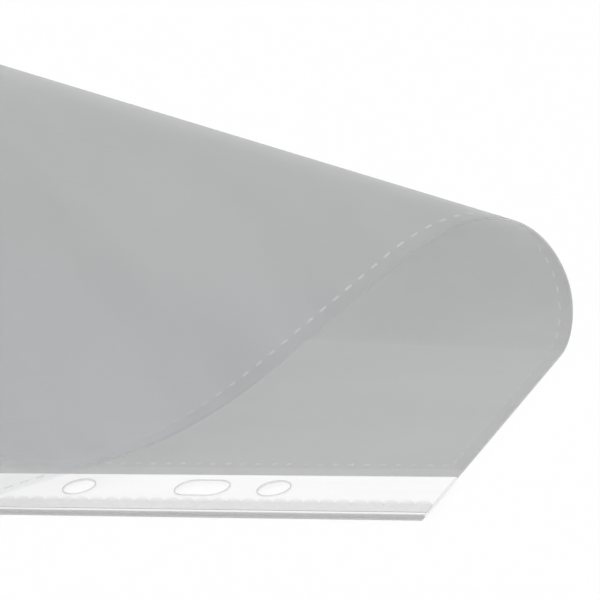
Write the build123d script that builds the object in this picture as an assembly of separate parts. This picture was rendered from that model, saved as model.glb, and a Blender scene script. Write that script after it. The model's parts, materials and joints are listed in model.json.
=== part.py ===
from build123d import *
import math
import os

# Sheet protector: a clear film pocket for A4 paper, closed along one short edge, with a punched
# white strip along one long edge. It lies on its back face, and its far corner is curled over
# towards the binding edge. X runs along the binding edge, Y away from it, Z up. The origin is at
# the middle of the row of ring holes, at the height of the surface that the pocket lies on.

# Pocket, in millimetres
pocket_length = 307.0        # along the binding edge, from the closed short edge to the mouth
film = 0.13                  # thickness of one film
strip_thickness = 0.24       # white strip, and so the room between the films
strip_inset = 1.5            # clear film left in front of the strip
strip_width = 15.0
margin_crease = 18.8         # where the punched margin bends, from the binding edge
crease_gap = 0.3             # room between two panels of film at a crease
fold_width = 0.5             # bent film that joins front and back along the far edge

# Ring holes, as distances from the middle of the row
hole_line = 11.1             # from the binding edge
hole_diameter = 6.0
middle_hole_place = 56.0
inner_hole_place = 80.0
outer_hole_place = 120.0
outer_slot_place = 105.5
outer_slot_length = 10.5
inner_slot_place = 37.5
inner_slot_length = 11.0

# Welds that join the two films: each row is a narrow line with short broad marks along it
edge_weld_inset = 0.3        # plain weld in front of the strip
edge_weld_width = 0.9
inner_weld_line = 20.9       # row behind the strip, from the binding edge
closed_weld_inset = 2.6      # row along the closed short edge
weld_line_width = 0.4
mark_pitch = 3.11
mark_length = 1.6
mark_width = 0.9

# Curl: every crease runs through one point on the surface, beside the closed short edge.
# The stretches are measured along that edge, from the binding edge to the far corner, and add up
# to the width of the pocket, which takes A4 paper.
apex_beyond = 90.4           # from the closed edge
apex_in = 58.9               # from the binding edge
flat_length = 69.7
tight_bend_length = 17.7
tight_bend_angle = 95.8
tight_bend_panels = 4
wide_bend_length = 43.4
wide_bend_angle = 134.4
wide_bend_panels = 6
straight_length = 26.0
settling_length = 37.7       # the flap bends back to lie along the strip
settling_angle = -56.2
settling_panels = 3
flap_length = 44.5

# Edges and levels of the flat pocket
pocket_width = (
    flat_length + tight_bend_length + wide_bend_length + straight_length + settling_length + flap_length
)
closed_edge = pocket_length / 2
mouth_edge = -pocket_length / 2
binding_edge = -hole_line
far_edge = binding_edge + pocket_width
crease_line = binding_edge + margin_crease
front_level = film + strip_thickness
middle_level = film + strip_thickness / 2
apex = Vector(closed_edge + apex_beyond, binding_edge + apex_in, middle_level)


def crease_table():
    """Creases in order from the flat part, each as its place along the closed edge and its turn.

    A bend's creases share its angle evenly, with half a share at each end, so that the flat film
    before and after it is tangent to the round bend that its panels stand for.
    """
    bends = (
        (flat_length, tight_bend_length, tight_bend_angle, tight_bend_panels),
        (0, wide_bend_length, wide_bend_angle, wide_bend_panels),
        (straight_length, settling_length, settling_angle, settling_panels),
    )
    table = []
    start = 0
    for straight, length, angle, panels in bends:
        start += straight
        half_turn = angle / panels / 2
        if straight:
            table.append([start, half_turn])
        else:
            table[-1][1] += half_turn
        for number in range(1, panels):
            table.append([start + number * length / panels, 2 * half_turn])
        start += length
        table.append([start, half_turn])
    return table


creases = crease_table()
panel_count = len(creases)


def crease_angle(place):
    """Angle of a crease in the flat pocket, from -X towards +Y."""
    return math.atan2(place - apex_in, apex_beyond)


def crease_axis(place):
    """Line of a crease in the flat pocket, pointing at the apex: a positive turn lifts the film."""
    angle = crease_angle(place)
    return Axis(apex, Vector(math.cos(angle), -math.sin(angle), 0))


def crease_point(place, reach, aside):
    """Point of the flat pocket along a crease, moved aside from it towards the far edge."""
    angle = crease_angle(place)
    along = Vector(-math.cos(angle), math.sin(angle), 0) * reach
    across = Vector(math.sin(angle), math.cos(angle), 0) * aside
    point = apex + along + across
    return (point.X, point.Y)


def curl(solid, number):
    """Carry a piece of panel n from the flat pocket to its place in the curl."""
    for place, turn in reversed(creases[:number]):
        solid = solid.rotate(crease_axis(place), turn)
    return solid


def rectangle(x_low, x_high, y_low, y_high):
    middle = Location(((x_low + x_high) / 2, (y_low + y_high) / 2))
    return middle * Rectangle(x_high - x_low, y_high - y_low)


def panel_outline(number):
    """Panel 0 lies flat on the surface, and panel n lies beyond crease n."""
    near = apex_beyond / 2
    far = apex_beyond + pocket_length + pocket_width
    aside = crease_gap / 2
    start_line = crease_line + aside
    start = [(closed_edge + near, start_line), (mouth_edge - near, start_line)]
    end = [(mouth_edge, far_edge + far), (closed_edge + near, far_edge + far)]
    if number > 0:
        place = creases[number - 1][0]
        start = [crease_point(place, near, aside), crease_point(place, far, aside)]
    if number < panel_count:
        place = creases[number][0]
        end = [crease_point(place, far, -aside), crease_point(place, near, -aside)]
    pocket = rectangle(mouth_edge, closed_edge, crease_line, far_edge)
    return pocket & Polygon(*start, *end, align=None)


def front_film_panel(number):
    return curl(extrude(Pos(0, 0, front_level) * panel_outline(number), film), number)


def between_films(outline):
    return extrude(Pos(0, 0, film) * outline, strip_thickness)


def back_film_panel(number):
    """Back film, with the fold that joins it to the front film where the panel has the far edge."""
    outline = panel_outline(number)
    panel = extrude(outline, film)
    fold = outline & rectangle(mouth_edge, closed_edge, far_edge - fold_width, far_edge)
    if fold:
        panel += between_films(fold)
    return curl(panel, number)


def mark_places(start, end):
    """Middles of a row's marks, evenly about the middle of the row."""
    count = int((end - start - mark_length) / mark_pitch)
    first = (start + end - count * mark_pitch) / 2
    return [first + number * mark_pitch for number in range(count + 1)]


def inner_weld_row():
    """Weld behind the strip, where the room for the paper starts."""
    line = binding_edge + inner_weld_line
    start = mouth_edge
    end = closed_edge - closed_weld_inset
    row = rectangle(start, end, line - weld_line_width / 2, line + weld_line_width / 2)
    marks = [Location((place, line)) * Rectangle(mark_length, mark_width) for place in mark_places(start, end)]
    return between_films(row + marks)


def closed_edge_weld(number):
    """One panel's stretch of the weld along the closed edge, clear of its creases."""
    line = closed_edge - closed_weld_inset
    spread = (apex_beyond + closed_weld_inset) / apex_beyond
    crossings = [binding_edge + apex_in + (place - apex_in) * spread for place, turn in creases]
    start = binding_edge + inner_weld_line + mark_width
    end = far_edge - fold_width - mark_width
    if number > 0:
        start = crossings[number - 1] + crease_gap
    if number < panel_count:
        end = crossings[number] - crease_gap
    row = rectangle(line - weld_line_width / 2, line + weld_line_width / 2, start, end)
    marks = [Location((line, place)) * Rectangle(mark_width, mark_length) for place in mark_places(start, end)]
    return curl(between_films((row + marks) & panel_outline(number)), number)


def ring_holes():
    """Seven round holes and four slots, which take rings at the usual spacings."""
    round_places = (0, middle_hole_place, inner_hole_place, outer_hole_place)
    slots = ((inner_slot_place, inner_slot_length), (outer_slot_place, outer_slot_length))
    holes = Sketch()
    for side in (-1, 1):
        for place in round_places:
            holes += Location((side * place, 0)) * Circle(hole_diameter / 2)
        for place, length in slots:
            holes += Location((side * place, 0)) * SlotOverall(length, hole_diameter)
    return holes


def punched(y_low, y_high, level, thickness):
    outline = rectangle(mouth_edge, closed_edge, y_low, y_high) - ring_holes()
    return extrude(Pos(0, 0, level) * outline, thickness)


def binding_strip():
    start = binding_edge + strip_inset
    return punched(start, start + strip_width, film, strip_thickness)


def front_film_margin():
    return punched(binding_edge, crease_line - crease_gap / 2, front_level, film)


def back_film_margin():
    return punched(binding_edge, crease_line - crease_gap / 2, 0, film)


def binding_edge_weld():
    start = binding_edge + edge_weld_inset
    return between_films(rectangle(mouth_edge, closed_edge, start, start + edge_weld_width))


pieces = {
    "binding_strip": binding_strip(),
    "front_film_margin": front_film_margin(),
    "back_film_margin": back_film_margin(),
    "binding_edge_weld": binding_edge_weld(),
    "inner_weld_row": inner_weld_row(),
}
for number in range(panel_count + 1):
    pieces[f"front_film_{number:02d}"] = front_film_panel(number)
    pieces[f"back_film_{number:02d}"] = back_film_panel(number)
    pieces[f"closed_edge_weld_{number:02d}"] = closed_edge_weld(number)

os.makedirs("parts", exist_ok=True)
for name, piece in pieces.items():
    export_step(piece, f"parts/{name}.step")
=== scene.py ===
import bisect
import json
import math

import bpy
from mathutils import Matrix, Vector


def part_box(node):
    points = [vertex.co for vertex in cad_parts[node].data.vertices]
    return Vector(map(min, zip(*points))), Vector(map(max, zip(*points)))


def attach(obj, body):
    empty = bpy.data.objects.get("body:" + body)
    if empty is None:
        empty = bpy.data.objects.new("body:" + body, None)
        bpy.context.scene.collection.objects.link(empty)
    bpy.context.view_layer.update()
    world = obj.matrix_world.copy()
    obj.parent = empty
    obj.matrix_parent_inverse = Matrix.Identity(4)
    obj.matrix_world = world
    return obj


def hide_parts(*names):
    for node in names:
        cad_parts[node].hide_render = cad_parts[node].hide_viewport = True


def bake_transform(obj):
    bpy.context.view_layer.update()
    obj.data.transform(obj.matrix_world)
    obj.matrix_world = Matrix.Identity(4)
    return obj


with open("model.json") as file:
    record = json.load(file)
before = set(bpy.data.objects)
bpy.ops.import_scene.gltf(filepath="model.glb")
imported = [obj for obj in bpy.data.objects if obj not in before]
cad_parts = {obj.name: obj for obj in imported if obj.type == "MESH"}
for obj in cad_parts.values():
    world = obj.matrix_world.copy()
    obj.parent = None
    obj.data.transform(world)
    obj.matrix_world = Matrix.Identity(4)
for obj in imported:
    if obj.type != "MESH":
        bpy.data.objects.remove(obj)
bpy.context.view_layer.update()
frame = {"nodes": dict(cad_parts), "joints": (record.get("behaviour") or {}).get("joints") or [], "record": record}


# Camera: a long lens near the closed end, looking down along the binding edge. The picture is
# turned a little, so that the binding edge runs almost level across the bottom.
camera_place = Vector((0.41188, -0.51892, 0.25607))
camera_round = math.radians(28.273)
camera_above = math.radians(20.410)
camera_roll = math.radians(-11.522)
camera_data = bpy.data.cameras.new("camera")
camera_data.sensor_width = 36
camera_data.lens = 217.7
camera_data.clip_end = 20
camera = bpy.data.objects.new("camera", camera_data)
bpy.context.scene.collection.objects.link(camera)
camera.matrix_world = (
    Matrix.Translation(camera_place)
    @ Matrix.Rotation(camera_round, 4, "Z")
    @ Matrix.Rotation(math.pi / 2 - camera_above, 4, "X")
    @ Matrix.Rotation(camera_roll, 4, "Z")
)
bpy.context.scene.camera = camera


# Binding strip: an opaque white polypropylene tape between the two films, punched with them. A copy of
# its solid, a hair thinner so that no face lies in a face of the films. Matt, with faint streaks along it.
strip_white = 0.965
thinner = 0.92
strip_low, strip_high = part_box("binding_strip")


def new_finish(name):
    """A new material: the material, its nodes, a function that links two sockets, and its shader."""
    finish = bpy.data.materials.new(name)
    finish.use_nodes = True
    tree = finish.node_tree
    return finish, tree.nodes, tree.links.new, tree.nodes["Principled BSDF"]


def grey(level, tint=(1, 1, 1)):
    return (level * tint[0], level * tint[1], level * tint[2], 1)


def ramp(nodes, stops, interpolation="LINEAR"):
    """A colour ramp through the given places and colours."""
    node = nodes.new("ShaderNodeValToRGB")
    node.color_ramp.interpolation = interpolation
    elements = node.color_ramp.elements
    while len(elements) < len(stops):
        elements.new(1)
    for element, (place, colour) in zip(elements, stops):
        element.position = place
        element.color = colour
    return node


def noise(nodes, link, places, scale, detail, stretch=(1, 1, 1)):
    """Noise on the given coordinates, finer along the directions with a larger stretch."""
    mapping = nodes.new("ShaderNodeMapping")
    mapping.inputs["Scale"].default_value = stretch
    link(places, mapping.inputs["Vector"])
    node = nodes.new("ShaderNodeTexNoise")
    node.inputs["Scale"].default_value = scale
    node.inputs["Detail"].default_value = detail
    link(mapping.outputs["Vector"], node.inputs["Vector"])
    return node.outputs["Fac"]


def deselect():
    bpy.ops.object.select_all(action="DESELECT")


def wear_finish(piece, finish):
    piece.data.materials.clear()
    piece.data.materials.append(finish)


def thinner_copy(node, name):
    """A copy of a solid of the punched margin, drawn in a little from the films above and below it."""
    solid = frame["nodes"][node]
    piece = solid.copy()
    piece.data = solid.data.copy()
    piece.name = name
    bpy.context.scene.collection.objects.link(piece)
    low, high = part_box(node)
    deselect()
    piece.select_set(True)
    bpy.context.view_layer.objects.active = piece
    bpy.ops.object.mode_set(mode="EDIT")
    bpy.ops.mesh.select_all(action="SELECT")
    bpy.ops.transform.resize(value=(1, 1, thinner), center_override=(low + high) / 2)
    bpy.ops.object.mode_set(mode="OBJECT")
    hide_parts(node)
    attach(piece, "binding_margin")
    return piece


strip_finish, nodes, link, shader = new_finish("white_strip")
here = nodes.new("ShaderNodeTexCoord").outputs["Object"]
streaks = noise(nodes, link, here, 420, 3, stretch=(0.08, 1, 1))
streak_colour = ramp(nodes, [(0.3, grey(strip_white * 0.975)), (0.7, grey(strip_white))])
link(streaks, streak_colour.inputs["Fac"])
link(streak_colour.outputs["Color"], shader.inputs["Base Color"])
strip_grain = noise(nodes, link, here, 2600, 2)
strip_gloss = ramp(nodes, [(0.3, grey(0.5)), (0.7, grey(0.62))])
link(strip_grain, strip_gloss.inputs["Fac"])
link(strip_gloss.outputs["Color"], shader.inputs["Roughness"])
strip_bump = nodes.new("ShaderNodeBump")
strip_bump.inputs["Strength"].default_value = 0.15
strip_bump.inputs["Distance"].default_value = 0.00005
link(strip_grain, strip_bump.inputs["Height"])
link(strip_bump.outputs["Normal"], shader.inputs["Normal"])
shader.inputs["Specular IOR Level"].default_value = 0.3
strip = thinner_copy("binding_strip", "white_tape")
wear_finish(strip, strip_finish)


# Margin films: the front and back film over and under the strip, punched with it. Clear where they
# cling to the white tape, and greyish in front of it, behind it and along the cut end.
film_grey = 0.435
film_tint = (0.992, 0.998, 1.0)
film_cover = 0.6             # share of what is behind it that one surface of the film hides
film_light = 0.985           # share of the light that one surface lets through
film_shine = 0.2
clinging_cover = 0.01
crease_side = 0.00002        # the side at the crease isn't seen, as the film goes on there
cut_end = 0.00015
cut_end_cover = 0.2
haze_gain = 1.08             # the film behind the strip is a little paler
margin_low, margin_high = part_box("front_film_margin")


def let_light_through(nodes, link, shader, share):
    """Clear film dims the light on what is behind it far less than it dims the view of it."""
    through = nodes.new("ShaderNodeBsdfTransparent")
    through.inputs["Color"].default_value = grey(share)
    choice = nodes.new("ShaderNodeMixShader")
    link(nodes.new("ShaderNodeLightPath").outputs["Is Camera Ray"], choice.inputs[0])
    link(through.outputs[0], choice.inputs[1])
    link(shader.outputs[0], choice.inputs[2])
    link(choice.outputs[0], nodes["Material Output"].inputs["Surface"])


def tinted(nodes, link, colour, tint):
    """Multiply one colour by another."""
    mix = nodes.new("ShaderNodeMix")
    mix.data_type = "RGBA"
    mix.blend_type = "MULTIPLY"
    mix.inputs["Factor"].default_value = 1
    link(colour, mix.inputs["A"])
    link(tint, mix.inputs["B"])
    return mix.outputs["Result"]


def margin_share(y):
    return (y - margin_low.y) / (margin_high.y - margin_low.y)


margin_finish, nodes, link, shader = new_finish("margin_film")
here = nodes.new("ShaderNodeTexCoord").outputs["Object"]
margin_clouds = noise(nodes, link, here, 45, 2)
margin_colour = ramp(
    nodes, [(0.35, grey(film_grey * 0.97, film_tint)), (0.65, grey(film_grey * 1.03, film_tint))]
)
link(margin_clouds, margin_colour.inputs["Fac"])
sides = nodes.new("ShaderNodeSeparateXYZ")
link(here, sides.inputs[0])
across_margin = nodes.new("ShaderNodeMapRange")
across_margin.inputs["From Min"].default_value = margin_low.y
across_margin.inputs["From Max"].default_value = margin_high.y
link(sides.outputs["Y"], across_margin.inputs["Value"])
margin_haze = ramp(nodes, [(0, grey(1)), (margin_share(strip_high.y), grey(haze_gain))], "CONSTANT")
link(across_margin.outputs["Result"], margin_haze.inputs["Fac"])
hazed = tinted(nodes, link, margin_colour.outputs["Color"], margin_haze.outputs["Color"])
link(hazed, shader.inputs["Base Color"])
cover = ramp(
    nodes,
    [
        (0.0, grey(film_cover)),
        (margin_share(strip_low.y), grey(clinging_cover)),
        (margin_share(strip_high.y), grey(film_cover)),
        (margin_share(margin_high.y - crease_side), grey(0)),
    ],
    "CONSTANT",
)
link(across_margin.outputs["Result"], cover.inputs["Fac"])
at_cut_end = nodes.new("ShaderNodeMath")
at_cut_end.operation = "GREATER_THAN"
at_cut_end.inputs[1].default_value = margin_high.x - cut_end
link(sides.outputs["X"], at_cut_end.inputs[0])
end_cover = nodes.new("ShaderNodeMath")
end_cover.operation = "MULTIPLY"
end_cover.inputs[1].default_value = cut_end_cover
link(at_cut_end.outputs[0], end_cover.inputs[0])
whole_cover = nodes.new("ShaderNodeMath")
whole_cover.operation = "MAXIMUM"
link(cover.outputs["Color"], whole_cover.inputs[0])
link(end_cover.outputs[0], whole_cover.inputs[1])
link(whole_cover.outputs[0], shader.inputs["Alpha"])
margin_gloss = ramp(nodes, [(0.3, grey(0.3)), (0.7, grey(0.4))])
link(margin_clouds, margin_gloss.inputs["Fac"])
link(margin_gloss.outputs["Color"], shader.inputs["Roughness"])
shader.inputs["Specular IOR Level"].default_value = film_shine
let_light_through(nodes, link, shader, 1)
wear_finish(frame["nodes"]["front_film_margin"], margin_finish)
wear_finish(frame["nodes"]["back_film_margin"], margin_finish)


# Weld in front of the strip: a plain band where the two films are fused along the binding edge.
# Fused film is cloudy, so it hides a little more than the film beside it.
weld_grey = 0.44
weld_finish, nodes, link, shader = new_finish("fused_film")
here = nodes.new("ShaderNodeTexCoord").outputs["Object"]
weld_clouds = noise(nodes, link, here, 900, 3)
weld_colour = ramp(nodes, [(0.3, grey(weld_grey * 0.985)), (0.7, grey(weld_grey * 1.015))])
link(weld_clouds, weld_colour.inputs["Fac"])
link(weld_colour.outputs["Color"], shader.inputs["Base Color"])
weld_gloss = ramp(nodes, [(0.3, grey(0.35)), (0.7, grey(0.5))])
link(weld_clouds, weld_gloss.inputs["Fac"])
link(weld_gloss.outputs["Color"], shader.inputs["Roughness"])
shader.inputs["Alpha"].default_value = 0.8
let_light_through(nodes, link, shader, film_light)
edge_weld = thinner_copy("binding_edge_weld", "edge_weld")
wear_finish(edge_weld, weld_finish)


# Toothed band: the front film is pressed on to the strip by a toothed wheel, just behind the strip's
# front edge. Each tooth leaves a low pad of cloudy pressed film, whose rounded head fades out.
mark_pitch = 0.00311         # from mark to mark, here and in the weld rows
mouth_gap = 0.0003           # room at the mouth for the lean of the first tooth
teeth_start = margin_low.x + mouth_gap
tooth_count = round((margin_high.x - teeth_start) / mark_pitch)
tooth_pitch = (margin_high.x - teeth_start) / tooth_count
tooth_head = 0.0024
tooth_foot = strip_low.y + 0.00095
tooth_top = strip_low.y + 0.0056
tooth_lean = -0.42           # the heads lean towards the mouth
tooth_height = 0.00005
tooth_sunk = 0.00002
tooth_grey = 0.735
tooth_head_grey = 0.91
film_top = margin_high.z


def pick_points(piece, wanted):
    """Select, in edit mode, the points whose place wanted() takes."""
    bpy.ops.object.mode_set(mode="EDIT")
    bpy.ops.mesh.select_mode(type="VERT")
    bpy.ops.mesh.select_all(action="DESELECT")
    bpy.ops.object.mode_set(mode="OBJECT")
    for point in piece.data.vertices:
        point.select = wanted(point.co)
    bpy.ops.object.mode_set(mode="EDIT")


def apply_modifiers(piece):
    deselect()
    piece.select_set(True)
    bpy.context.view_layer.objects.active = piece
    for modifier in list(piece.modifiers):
        bpy.ops.object.modifier_apply(modifier=modifier.name)


def shade_smooth(piece, degrees):
    deselect()
    piece.select_set(True)
    bpy.context.view_layer.objects.active = piece
    bpy.ops.object.shade_smooth_by_angle(angle=math.radians(degrees))


def row_of_copies(piece, count, step):
    """Repeat a piece along a row, each copy a step further."""
    copies = piece.modifiers.new("row", "ARRAY")
    copies.use_relative_offset = False
    copies.use_constant_offset = True
    copies.constant_offset_displace = step
    copies.count = count


tooth_finish, nodes, link, shader = new_finish("pressed_film")
here = nodes.new("ShaderNodeTexCoord").outputs["Object"]
tooth_clouds = noise(nodes, link, here, 1100, 3)
tooth_patches = ramp(nodes, [(0.3, grey(0.95)), (0.7, grey(1.03))])
link(tooth_clouds, tooth_patches.inputs["Fac"])
tooth_sides = nodes.new("ShaderNodeSeparateXYZ")
link(here, tooth_sides.inputs[0])
up_tooth = nodes.new("ShaderNodeMapRange")
up_tooth.inputs["From Min"].default_value = tooth_foot
up_tooth.inputs["From Max"].default_value = tooth_top
link(tooth_sides.outputs["Y"], up_tooth.inputs["Value"])
tooth_colour = ramp(nodes, [(0.6, grey(tooth_grey)), (1, grey(tooth_head_grey))])
link(up_tooth.outputs["Result"], tooth_colour.inputs["Fac"])
patched = tinted(nodes, link, tooth_colour.outputs["Color"], tooth_patches.outputs["Color"])
link(patched, shader.inputs["Base Color"])
tooth_gloss = ramp(nodes, [(0.3, grey(0.4)), (0.7, grey(0.55))])
link(tooth_clouds, tooth_gloss.inputs["Fac"])
link(tooth_gloss.outputs["Color"], shader.inputs["Roughness"])

deselect()
bpy.ops.mesh.primitive_circle_add(vertices=24, radius=tooth_pitch / 2, fill_type="NGON")
teeth = bpy.context.object
teeth.name = "toothed_band"
bpy.ops.object.mode_set(mode="EDIT")
bpy.ops.mesh.select_all(action="SELECT")
bpy.ops.transform.resize(value=(1, tooth_head * 2 / tooth_pitch, 1))
bpy.ops.mesh.bisect(plane_co=(0, 0, 0), plane_no=(0, 1, 0), clear_inner=True)
pick_points(teeth, lambda place: place.y < 1e-6)
shoulder = tooth_top - tooth_head - tooth_foot
bpy.ops.mesh.extrude_region_move(TRANSFORM_OT_translate={"value": (0, -shoulder, 0)})
bpy.ops.mesh.select_all(action="SELECT")
first_tooth = teeth_start + tooth_pitch / 2
tooth_middle = film_top - tooth_sunk + tooth_height / 2
bpy.ops.transform.translate(value=(first_tooth, tooth_top - tooth_head, tooth_middle))
pick_points(teeth, lambda place: place.y < tooth_foot + 1e-6)
bpy.ops.transform.translate(value=(0, 0, -tooth_height))
bpy.ops.object.mode_set(mode="OBJECT")
for vertex in teeth.data.vertices:
    vertex.co.x += tooth_lean * max(0, vertex.co.y - (tooth_top - tooth_head))
row_of_copies(teeth, tooth_count, (tooth_pitch, 0, 0))
teeth.modifiers["row"].use_merge_vertices = True
teeth.modifiers["row"].merge_threshold = tooth_pitch / 1000
pad = teeth.modifiers.new("pad", "SOLIDIFY")
pad.thickness = tooth_height
pad.offset = 0
rounding = teeth.modifiers.new("rounding", "BEVEL")
rounding.width = tooth_height / 3
rounding.limit_method = "ANGLE"
apply_modifiers(teeth)
shade_smooth(teeth, 40)
teeth.data.materials.append(tooth_finish)
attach(teeth, "binding_margin")


# Hole rims: the punch leaves a thin raised grey rim on the film round each of the seven round holes
# and four slots.
rim_width = 0.00017
rim_height = 0.00006
rim_sunk = 0.00002
rim_grey = 0.6
hole_radius = 0.003
round_holes = (0, 0.056, 0.08, 0.12)
slots = ((0.0375, 0.011), (0.1055, 0.0105))

rim_finish, nodes, link, shader = new_finish("punched_edge")
here = nodes.new("ShaderNodeTexCoord").outputs["Object"]
rim_clouds = noise(nodes, link, here, 1500, 2)
rim_colour = ramp(nodes, [(0.3, grey(rim_grey * 0.92)), (0.7, grey(rim_grey * 1.08))])
link(rim_clouds, rim_colour.inputs["Fac"])
link(rim_colour.outputs["Color"], shader.inputs["Base Color"])
shader.inputs["Roughness"].default_value = 0.45


def hole_rim(name, place, length):
    """A flat ring round a hole, made from a disc that is drawn out to the hole's length."""
    deselect()
    bpy.ops.mesh.primitive_circle_add(vertices=48, radius=hole_radius + rim_width, fill_type="NGON")
    rim = bpy.context.object
    rim.name = name
    bpy.ops.object.mode_set(mode="EDIT")
    bpy.ops.mesh.select_all(action="SELECT")
    bpy.ops.transform.rotate(value=math.pi / 48, orient_axis="Z", center_override=(0, 0, 0))
    for side in (-1, 1):
        pick_points(rim, lambda point: point.x * side > 0)
        bpy.ops.transform.translate(value=(side * (length / 2 - hole_radius), 0, 0))
    bpy.ops.mesh.select_mode(type="FACE")
    bpy.ops.mesh.select_all(action="SELECT")
    bpy.ops.mesh.inset(thickness=rim_width, use_even_offset=True)
    bpy.ops.mesh.delete(type="FACE")
    bpy.ops.mesh.select_all(action="SELECT")
    bpy.ops.transform.translate(value=(place, 0, film_top - rim_sunk + rim_height / 2))
    bpy.ops.object.mode_set(mode="OBJECT")
    wall = rim.modifiers.new("wall", "SOLIDIFY")
    wall.thickness = rim_height
    wall.offset = 0
    rounding = rim.modifiers.new("rounding", "BEVEL")
    rounding.width = rim_height / 3
    rounding.limit_method = "ANGLE"
    apply_modifiers(rim)
    shade_smooth(rim, 40)
    rim.data.materials.append(rim_finish)
    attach(rim, "binding_margin")


for hole in round_holes:
    hole_rim(f"rim_{round(hole * 1000)}_closed", hole, hole_radius * 2)
    if hole:
        hole_rim(f"rim_{round(hole * 1000)}_mouth", -hole, hole_radius * 2)
for slot, length in slots:
    hole_rim(f"slot_rim_{round(slot * 1000)}_closed", slot, length)
    hole_rim(f"slot_rim_{round(slot * 1000)}_mouth", -slot, length)


# Pocket film: clear greyish polypropylene, one sheet folded along the far edge. It is cut flat here,
# and its far corner is curled over on creases that all run through one point beside the closed edge.
pocket_width = 0.239
margin_width = 0.0187
apex_beyond = 0.0904         # from the closed edge
apex_in = 0.0589             # from the binding edge
closed_edge = margin_high.x
mouth_edge = margin_low.x
binding_edge = margin_low.y
margin_line = binding_edge + margin_width
far_edge = binding_edge + pocket_width
film_thickness = margin_high.z - margin_low.z
pocket_thickness = margin_high.z
middle = pocket_thickness / 2
fold_radius = (pocket_thickness - film_thickness) / 2
fold_steps = 6
apex = Vector((closed_edge + apex_beyond, binding_edge + apex_in, middle))
cuts_across_a_bend = 12

couplings = frame["record"]["behaviour"]["couplings"]
crease_shares = {row["joint"]: row["ratio"] for row in couplings}
creases = [joint for joint in frame["joints"] if joint["child"].startswith("panel_")]
main_turn = next(math.radians(joint["range_deg"][1]) for joint in creases if joint["name"] == "uncurl")
turns = [main_turn * crease_shares.get(joint["name"], 1.0) for joint in creases]
ray_angles = []
for joint in creases:
    reach = (Vector(joint["pos_m"]) - apex).length
    ray_angles.append(math.acos((apex.x - closed_edge) / reach))
last_panel = len(creases)

# how far the film itself bends between one crease and the next: not at all on the flat panels
panel_bends = [0.0]
for turn in turns:
    bend = 2 * turn - panel_bends[-1]
    panel_bends.append(bend if abs(bend) > 1e-4 else 0.0)

curls = [Matrix.Identity(4)]
for angle, turn in zip(ray_angles, turns):
    towards_apex = Vector((math.cos(angle), -math.sin(angle), 0))
    lift = Matrix.Rotation(turn, 4, towards_apex)
    curls.append(curls[-1] @ Matrix.Translation(apex) @ lift @ Matrix.Translation(-apex))


def fan_angle(point):
    return math.atan2(point.y - apex.y, apex.x - point.x)


def fan_place(point):
    """Panel that a point of the flat pocket is on, how far across it is, and how wide the panel is there."""
    angle = fan_angle(point)
    panel = bisect.bisect_right(ray_angles, angle + 1e-7)
    if panel in (0, last_panel):
        return panel, 0.0, 0.0
    start = ray_angles[panel - 1]
    spread = ray_angles[panel] - start
    reach = math.hypot(point.y - apex.y, apex.x - point.x)
    return panel, (angle - start) / spread, reach * spread


def curled(point):
    """Where a point of the flat pocket lies in the curl, on the round bend through the creases."""
    panel, across, width = fan_place(point)
    bend = panel_bends[panel]
    angle = fan_angle(point)
    towards_apex = Vector((math.cos(angle), -math.sin(angle), 0))
    bulge = width * bend * across * (1 - across) / 2
    tilt = Matrix.Rotation(bend * (across - 0.5), 3, towards_apex) if bend else Matrix.Identity(3)
    through_film = tilt @ Vector((0, 0, point.z - middle))
    return curls[panel] @ (Vector((point.x, point.y, middle - bulge)) + through_film)


def turned(point, direction):
    """A direction at a point of the flat pocket, turned as the film is turned there."""
    panel, across, width = fan_place(point)
    angle = fan_angle(point)
    towards_apex = Vector((math.cos(angle), -math.sin(angle), 0))
    tilt = Matrix.Rotation(panel_bends[panel] * (across - 0.5), 3, towards_apex)
    return curls[panel].to_3x3() @ (tilt @ direction if panel_bends[panel] else direction)


def bend_share(point, crease):
    """Share of a crease's turn that a point takes, so that the round bend opens out flat."""
    panel, across, width = fan_place(point)
    if panel < crease:
        return panel_bends[panel] / 2 * across / turns[crease - 1]
    return 1 - panel_bends[panel] / 2 * (1 - across) / turns[crease - 1]


# piece n of the film runs round crease n, from the middle of one panel to the middle of the next
seams = [ray_angles[0]]
for start, end in zip(ray_angles, ray_angles[1:]):
    seams.append((start + end) / 2)
bend_cuts = list(ray_angles)
for panel in range(1, last_panel):
    start, end = ray_angles[panel - 1], ray_angles[panel]
    count = cuts_across_a_bend if panel_bends[panel] else 2
    bend_cuts += [start + (end - start) * step / count for step in range(1, count)]


def cut_along_fan(piece):
    """Cut a flat piece along the creases and between them, so that it can follow the bend."""
    bpy.context.view_layer.objects.active = piece
    bpy.ops.object.mode_set(mode="EDIT")
    for angle in bend_cuts:
        bpy.ops.mesh.select_all(action="SELECT")
        across = (math.sin(angle), math.cos(angle), 0)
        bpy.ops.mesh.bisect(plane_co=apex, plane_no=across, threshold=1e-8)
    bpy.ops.object.mode_set(mode="OBJECT")


def part_at_seams(piece, piece_numbers):
    """Part a flat piece by the number of each face. Returns the pieces by number, 0 on the flat."""
    found = {0: piece}
    for number in range(1, last_panel + 1):
        deselect()
        piece.select_set(True)
        bpy.context.view_layer.objects.active = piece
        bpy.ops.object.mode_set(mode="EDIT")
        bpy.ops.mesh.select_mode(type="FACE")
        bpy.ops.mesh.select_all(action="DESELECT")
        bpy.ops.object.mode_set(mode="OBJECT")
        for face, face_number in zip(piece.data.polygons, piece_numbers(piece)):
            face.select = face_number == number
        bpy.ops.object.mode_set(mode="EDIT")
        bpy.ops.mesh.separate(type="SELECTED")
        bpy.ops.object.mode_set(mode="OBJECT")
        found[number] = next(other for other in bpy.context.selected_objects if other != piece)
    return found


def face_numbers(piece):
    return [bisect.bisect_right(seams, fan_angle(face.center)) for face in piece.data.polygons]


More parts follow.
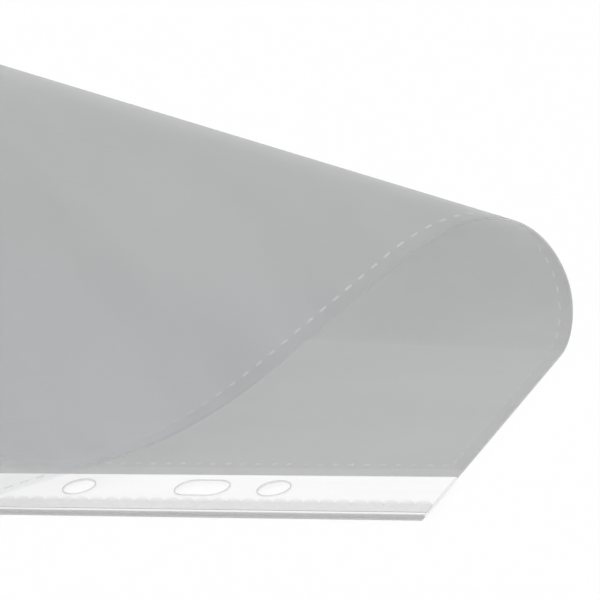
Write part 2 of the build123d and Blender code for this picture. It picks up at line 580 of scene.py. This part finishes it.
def flat_map(piece):
    """A UV map in tenths of a metre from the closed edge and the binding edge, on the flat pocket."""
    layer = piece.data.uv_layers.get("flat") or piece.data.uv_layers.new(name="flat")
    for loop in piece.data.loops:
        place = piece.data.vertices[loop.vertex_index].co
        layer.data[loop.index].uv = ((closed_edge - place.x) * 10, (place.y - binding_edge) * 10)


def curl_and_hang(piece, number):
    """Curl a flat piece. Piece 0 is hung on the pocket base; the others are baked in place and hung on no body."""
    shade_smooth(piece, 40)
    flat = [vertex.co.copy() for vertex in piece.data.vertices]
    normals = [
        turned(flat[loop.vertex_index], corner.vector)
        for loop, corner in zip(piece.data.loops, piece.data.corner_normals)
    ]
    for vertex, place in zip(piece.data.vertices, flat):
        vertex.co = curled(place)
    piece.data.update()
    piece.data.normals_split_custom_set(normals)
    if number == 0:
        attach(piece, "pocket_base")
        return
    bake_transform(piece)
    shares = [min(1.0, max(0.0, bend_share(place, number))) for place in flat]


weld_margin = 0.0026         # film outside the weld of the closed edge, a little darker
weld_margin_shade = 0.975
clear_corner = 0.2055        # the far corner is clear from here on along the closed edge
clear_slope = 0.85
clear_fade = 0.012
clear_cover = 0.06
hazy_margin = 0.0195         # film up to just before the weld row behind the strip, a little paler
cool_from = 0.13             # the film looks a little cooler towards its far corner
cool_to = 0.18
cool_tint = (0.985, 1.0, 1.02)

film_finish, nodes, link, shader = new_finish("clear_film")
on_film = nodes.new("ShaderNodeUVMap")
on_film.uv_map = "flat"
on_film = on_film.outputs["UV"]
from_edges = nodes.new("ShaderNodeSeparateXYZ")
link(on_film, from_edges.inputs[0])
clouds = noise(nodes, link, on_film, 5, 2, stretch=(0.25, 1, 1))
film_colour = ramp(
    nodes, [(0.35, grey(film_grey * 0.97, film_tint)), (0.65, grey(film_grey * 1.03, film_tint))]
)
link(clouds, film_colour.inputs["Fac"])
weld_shade = ramp(
    nodes,
    [
        (0, grey(weld_margin_shade)),
        (weld_margin * 10 - 0.002, grey(weld_margin_shade)),
        (weld_margin * 10, grey(1)),
    ],
)
link(from_edges.outputs["X"], weld_shade.inputs["Fac"])
haze = ramp(
    nodes,
    [(0, grey(haze_gain)), (hazy_margin * 10 - 0.004, grey(haze_gain)), (hazy_margin * 10, grey(1))],
)
link(from_edges.outputs["Y"], haze.inputs["Fac"])
shaded = tinted(nodes, link, film_colour.outputs["Color"], weld_shade.outputs["Color"])
hazed = tinted(nodes, link, shaded, haze.outputs["Color"])
gloss = ramp(nodes, [(0.3, grey(0.3)), (0.7, grey(0.4))])
link(clouds, gloss.inputs["Fac"])
link(gloss.outputs["Color"], shader.inputs["Roughness"])
ripple = nodes.new("ShaderNodeBump")
ripple.inputs["Strength"].default_value = 0.12
ripple.inputs["Distance"].default_value = 0.0004
link(clouds, ripple.inputs["Height"])
link(ripple.outputs["Normal"], shader.inputs["Normal"])
towards_corner = nodes.new("ShaderNodeMath")
towards_corner.operation = "MULTIPLY_ADD"
towards_corner.inputs[1].default_value = -clear_slope
link(from_edges.outputs["X"], towards_corner.inputs[0])
link(from_edges.outputs["Y"], towards_corner.inputs[2])
to_corner = nodes.new("ShaderNodeMapRange")
to_corner.inputs["From Min"].default_value = cool_from * 10
to_corner.inputs["From Max"].default_value = cool_to * 10
link(towards_corner.outputs[0], to_corner.inputs["Value"])
cooling = ramp(nodes, [(0, grey(1)), (1, grey(1, cool_tint))])
link(to_corner.outputs["Result"], cooling.inputs["Fac"])
link(tinted(nodes, link, hazed, cooling.outputs["Color"]), shader.inputs["Base Color"])
corner_cover = nodes.new("ShaderNodeMapRange")
corner_cover.interpolation_type = "SMOOTHSTEP"
corner_cover.inputs["From Min"].default_value = (clear_corner - clear_fade) * 10
corner_cover.inputs["From Max"].default_value = clear_corner * 10
corner_cover.inputs["To Min"].default_value = film_cover
corner_cover.inputs["To Max"].default_value = clear_cover
link(towards_corner.outputs[0], corner_cover.inputs["Value"])
link(corner_cover.outputs["Result"], shader.inputs["Alpha"])
shader.inputs["Specular IOR Level"].default_value = film_shine
let_light_through(nodes, link, shader, film_light)

# the film is one sheet across a seam between two pieces, so the cut face there isn't seen
seam_finish, nodes, link, shader = new_finish("inside_of_the_film")
shader.inputs["Alpha"].default_value = 0.0


def on_cut(piece, face, number):
    """True for a face across the film's thickness, at a seam, the margin's crease or the fold."""
    corners = [piece.data.vertices[corner].co for corner in face.vertices]
    angles = [fan_angle(corner) for corner in corners]
    for seam in seams[max(number - 1, 0):number + 1]:
        if max(abs(angle - seam) for angle in angles) < 1e-5:
            return True
    for line in (margin_line, far_edge - fold_radius):
        if max(abs(corner.y - line) for corner in corners) < 1e-6:
            return True
    return False


def film_sheet(side, level, folded):
    """One film of the pocket, cut flat at its level, parted at the bends and curled."""
    deselect()
    bpy.ops.mesh.primitive_plane_add(size=1, location=(0, 0, 0))
    sheet = bpy.context.object
    fold_line = far_edge - fold_radius
    bpy.ops.object.mode_set(mode="EDIT")
    bpy.ops.mesh.select_all(action="SELECT")
    bpy.ops.transform.resize(value=(closed_edge - mouth_edge, fold_line - margin_line, 1))
    bpy.ops.transform.translate(value=(0, (fold_line + margin_line) / 2, level))
    if folded:
        pick_points(sheet, lambda place: place.y > fold_line - 1e-6)
        for step in range(fold_steps):
            turn_from = math.pi * step / fold_steps
            turn_to = math.pi * (step + 1) / fold_steps
            outwards = fold_radius * (math.sin(turn_to) - math.sin(turn_from))
            upwards = fold_radius * (math.cos(turn_from) - math.cos(turn_to))
            bpy.ops.mesh.extrude_region_move(TRANSFORM_OT_translate={"value": (0, outwards, upwards)})
    bpy.ops.object.mode_set(mode="OBJECT")
    cut_along_fan(sheet)
    for number, piece in part_at_seams(sheet, face_numbers).items():
        piece.name = f"{side}_sheet_{number:02d}"
        thickness = piece.modifiers.new("thickness", "SOLIDIFY")
        thickness.thickness = film_thickness
        thickness.offset = 0
        apply_modifiers(piece)
        flat_map(piece)
        piece.data.materials.clear()
        piece.data.materials.append(film_finish)
        piece.data.materials.append(seam_finish)
        for face in piece.data.polygons:
            face.material_index = 1 if on_cut(piece, face, number) else 0
        curl_and_hang(piece, number)
        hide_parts(f"{side}_film_{number:02d}")


film_sheet("front", pocket_thickness - film_thickness / 2, False)
film_sheet("back", film_thickness / 2, True)


# Weld rows: short bars of fused film in a row on a thin line, behind the strip and along the closed
# edge. They are pressed in from the back. Their light grey is partly cloudy fused film and partly a painted
# highlight: strong on the back film and fading towards the far corner, faint in front but stronger at the inner
# bend.
bar_length = 0.0016
bar_width = 0.00065
dot_length = 0.0013
dot_width = 0.001
bar_proud = 0.00004
line_width = 0.0003
line_height = 0.0003
inner_inset = 0.0209
inner_row = binding_edge + inner_inset
closed_row = closed_edge - weld_margin
row_grey = 0.66
row_glint_cover = 0.45
low_row_glint_cover = 0.12         # fainter towards the far corner: the painted highlight fades where the bars catch less light
corner_row_glint_cover = 0.03
dot_cover = 0.28
front_cover = 0.12
# painted highlight: in front the bars show more on the inside of the bend, where they catch the light
inner_bend_glint_cover = 0.3
line_cover = 0.03


def fused_finish(name):
    """Cloudy fused film: what new_finish gives, and the place on the film."""
    finish, nodes, link, shader = new_finish(name)
    on_film = nodes.new("ShaderNodeUVMap")
    on_film.uv_map = "flat"
    row_clouds = noise(nodes, link, on_film.outputs["UV"], 140, 2)
    row_colour = ramp(nodes, [(0.3, grey(row_grey * 0.94)), (0.7, grey(row_grey * 1.06))])
    link(row_clouds, row_colour.inputs["Fac"])
    link(row_colour.outputs["Color"], shader.inputs["Base Color"])
    row_gloss = ramp(nodes, [(0.3, grey(0.3)), (0.7, grey(0.4))])
    link(row_clouds, row_gloss.inputs["Fac"])
    link(row_gloss.outputs["Color"], shader.inputs["Roughness"])
    let_light_through(nodes, link, shader, film_light)
    return finish, nodes, link, shader, on_film.outputs["UV"]


def fading_finish(name, covers):
    """Fused film that hides more or less by its place on the film, from the binding edge, as a painted highlight.
    """
    finish, nodes, link, shader, on_film = fused_finish(name)
    from_edges = nodes.new("ShaderNodeSeparateXYZ")
    link(on_film, from_edges.inputs[0])
    along_row = nodes.new("ShaderNodeMapRange")
    along_row.inputs["From Max"].default_value = pocket_width * 10
    link(from_edges.outputs["Y"], along_row.inputs["Value"])
    cover = ramp(nodes, [(place / pocket_width, grey(share)) for place, share in covers])
    link(along_row.outputs["Result"], cover.inputs["Fac"])
    link(cover.outputs["Color"], shader.inputs["Alpha"])
    return finish


# the bars' light grey painted as a highlight by place: strongest on the back film near the binding edge
back_glint_finish = fading_finish(
    "fused_bars_painted_glint", [(0.14, row_glint_cover), (0.19, low_row_glint_cover), (0.204, corner_row_glint_cover)]
)
front_glint_finish = fading_finish(
    "fused_front_painted_glint", [(0.022, dot_cover), (0.024, front_cover), (0.07, front_cover), (0.085, inner_bend_glint_cover)]
)
line_finish, nodes, link, shader, on_film = fused_finish("fused_line")
shader.inputs["Alpha"].default_value = line_cover


def weld_bar(size, place):
    """A block of fused film with rounded edges, at a place in the flat pocket."""
    deselect()
    bpy.ops.mesh.primitive_cube_add(size=1, location=(0, 0, 0))
    bar = bpy.context.object
    bpy.ops.object.mode_set(mode="EDIT")
    bpy.ops.mesh.select_all(action="SELECT")
    bpy.ops.transform.resize(value=size)
    bpy.ops.mesh.bevel(offset=min(size) * 0.35, segments=2, affect="EDGES")
    bpy.ops.mesh.select_all(action="SELECT")
    bpy.ops.transform.translate(value=place)
    bpy.ops.object.mode_set(mode="OBJECT")
    return bar


# a bar's bottom and side faces get the stronger painted highlight, its top faces the fainter one
def wear_bar_finish(bar):
    bar.data.materials.append(back_glint_finish)
    bar.data.materials.append(front_glint_finish)
    for face in bar.data.polygons:
        face.material_index = 1 if face.normal.z > 0.1 else 0


def joined(pieces):
    deselect()
    for piece in pieces:
        piece.select_set(True)
    bpy.context.view_layer.objects.active = pieces[0]
    bpy.ops.object.join()
    return pieces[0]


bar_height = pocket_thickness + 2 * bar_proud
inner_start = mouth_edge + mark_pitch / 2
inner_count = int((closed_row - inner_start - dot_length / 2) / mark_pitch) + 1
inner_bars = weld_bar((dot_length, dot_width, bar_height), (inner_start, inner_row, middle))
wear_bar_finish(inner_bars)
row_of_copies(inner_bars, inner_count, (mark_pitch, 0, 0))
apply_modifiers(inner_bars)
inner_middle = (mouth_edge + closed_row) / 2
inner_line = weld_bar((closed_row - mouth_edge, line_width, line_height), (inner_middle, inner_row, middle))
inner_line.data.materials.append(line_finish)
inner_weld = joined([inner_bars, inner_line])
inner_weld.name = "inner_weld_bars"
flat_map(inner_weld)
shade_smooth(inner_weld, 40)
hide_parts("inner_weld_row")
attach(inner_weld, "pocket_base")

closed_start = inner_row + bar_length
closed_end = far_edge - bar_length
closed_count = int((closed_end - closed_start) / mark_pitch) + 1
closed_bars = weld_bar((bar_width, bar_length, bar_height), (closed_row, closed_start, middle))
wear_bar_finish(closed_bars)
row_of_copies(closed_bars, closed_count, (0, mark_pitch, 0))
apply_modifiers(closed_bars)
closed_middle = (inner_row + closed_end) / 2
closed_line = weld_bar((line_width, closed_end - inner_row, line_height), (closed_row, closed_middle, middle))
closed_line.data.materials.append(line_finish)
cut_along_fan(closed_line)


def bar_numbers(piece):
    """The number of each face: a bar goes as a whole with its middle, and the line is parted at the seams."""
    numbers = []
    for face in piece.data.polygons:
        place = face.center.copy()
        if face.material_index < 2:
            bar = round((place.y - closed_start) / mark_pitch)
            place = Vector((closed_row, closed_start + bar * mark_pitch, middle))
        numbers.append(bisect.bisect_right(seams, fan_angle(place)))
    return numbers


closed_weld = joined([closed_bars, closed_line])
for number, piece in part_at_seams(closed_weld, bar_numbers).items():
    piece.name = f"closed_weld_bars_{number:02d}"
    bpy.context.view_layer.objects.active = piece
    bpy.ops.object.mode_set(mode="EDIT")
    bpy.ops.mesh.select_all(action="SELECT")
    bpy.ops.mesh.fill_holes(sides=0)
    bpy.ops.object.mode_set(mode="OBJECT")
    flat_map(piece)
    curl_and_hang(piece, number)
    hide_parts(f"closed_edge_weld_{number:02d}")


# Floor and light: a plain pale floor that keeps a faint shadow, under an even white sky, with one large
# soft lamp in front.
sky_strength = 1.01
floor_drop = 0.0006
floor_white = 0.95
shadow_share = 0.12
deselect()
bpy.ops.mesh.primitive_plane_add(size=6, location=(0, 0, -floor_drop))
floor = bpy.context.object
floor.name = "floor"
floor_finish, nodes, link, shader = new_finish("pale_floor")
shader.inputs["Base Color"].default_value = grey(floor_white)
shader.inputs["Roughness"].default_value = 1
shader.inputs["Specular IOR Level"].default_value = 0
plain_white = nodes.new("ShaderNodeEmission")
path = nodes.new("ShaderNodeLightPath")
seen = path.outputs["Is Camera Ray"]
for other in ("Is Glossy Ray", "Is Transmission Ray"):
    either = nodes.new("ShaderNodeMath")
    either.operation = "MAXIMUM"
    link(seen, either.inputs[0])
    link(path.outputs[other], either.inputs[1])
    seen = either.outputs[0]
white_share = nodes.new("ShaderNodeMath")
white_share.operation = "MULTIPLY"
white_share.inputs[1].default_value = 1 - shadow_share
link(seen, white_share.inputs[0])
floor_mix = nodes.new("ShaderNodeMixShader")
link(white_share.outputs[0], floor_mix.inputs[0])
link(shader.outputs[0], floor_mix.inputs[1])
link(plain_white.outputs[0], floor_mix.inputs[2])
link(floor_mix.outputs[0], nodes["Material Output"].inputs["Surface"])
floor.data.materials.append(floor_finish)

world = bpy.data.worlds.new("sky")
bpy.context.scene.world = world
world.use_nodes = True
nodes = world.node_tree.nodes
link = world.node_tree.links.new
sky = nodes["Background"]
sky.inputs["Color"].default_value = (1, 1, 1, 1)
sky.inputs["Strength"].default_value = sky_strength
backdrop = nodes.new("ShaderNodeBackground")
backdrop.inputs["Color"].default_value = (1, 1, 1, 1)
backdrop.inputs["Strength"].default_value = 1
seen_sky = nodes.new("ShaderNodeMixShader")
link(nodes.new("ShaderNodeLightPath").outputs["Is Camera Ray"], seen_sky.inputs[0])
link(sky.outputs[0], seen_sky.inputs[1])
link(backdrop.outputs[0], seen_sky.inputs[2])
link(seen_sky.outputs[0], nodes["World Output"].inputs["Surface"])


def soft_lamp(name, place, aim, size, power):
    data = bpy.data.lights.new(name, "AREA")
    data.shape = "RECTANGLE"
    data.size, data.size_y = size
    data.energy = power
    lamp = bpy.data.objects.new(name, data)
    bpy.context.scene.collection.objects.link(lamp)
    lamp.location = place
    lamp.rotation_euler = (Vector(aim) - Vector(place)).to_track_quat("-Z", "Y").to_euler()


soft_lamp("front", (-0.9, -0.9, 0.4), (0.05, 0.06, 0.03), (1.2, 0.8), 1.0)

# light and sight pass through many layers of film, two surfaces each
bpy.context.scene.cycles.transparent_max_bounces = 48

bpy.context.scene.view_settings.view_transform = "Standard"
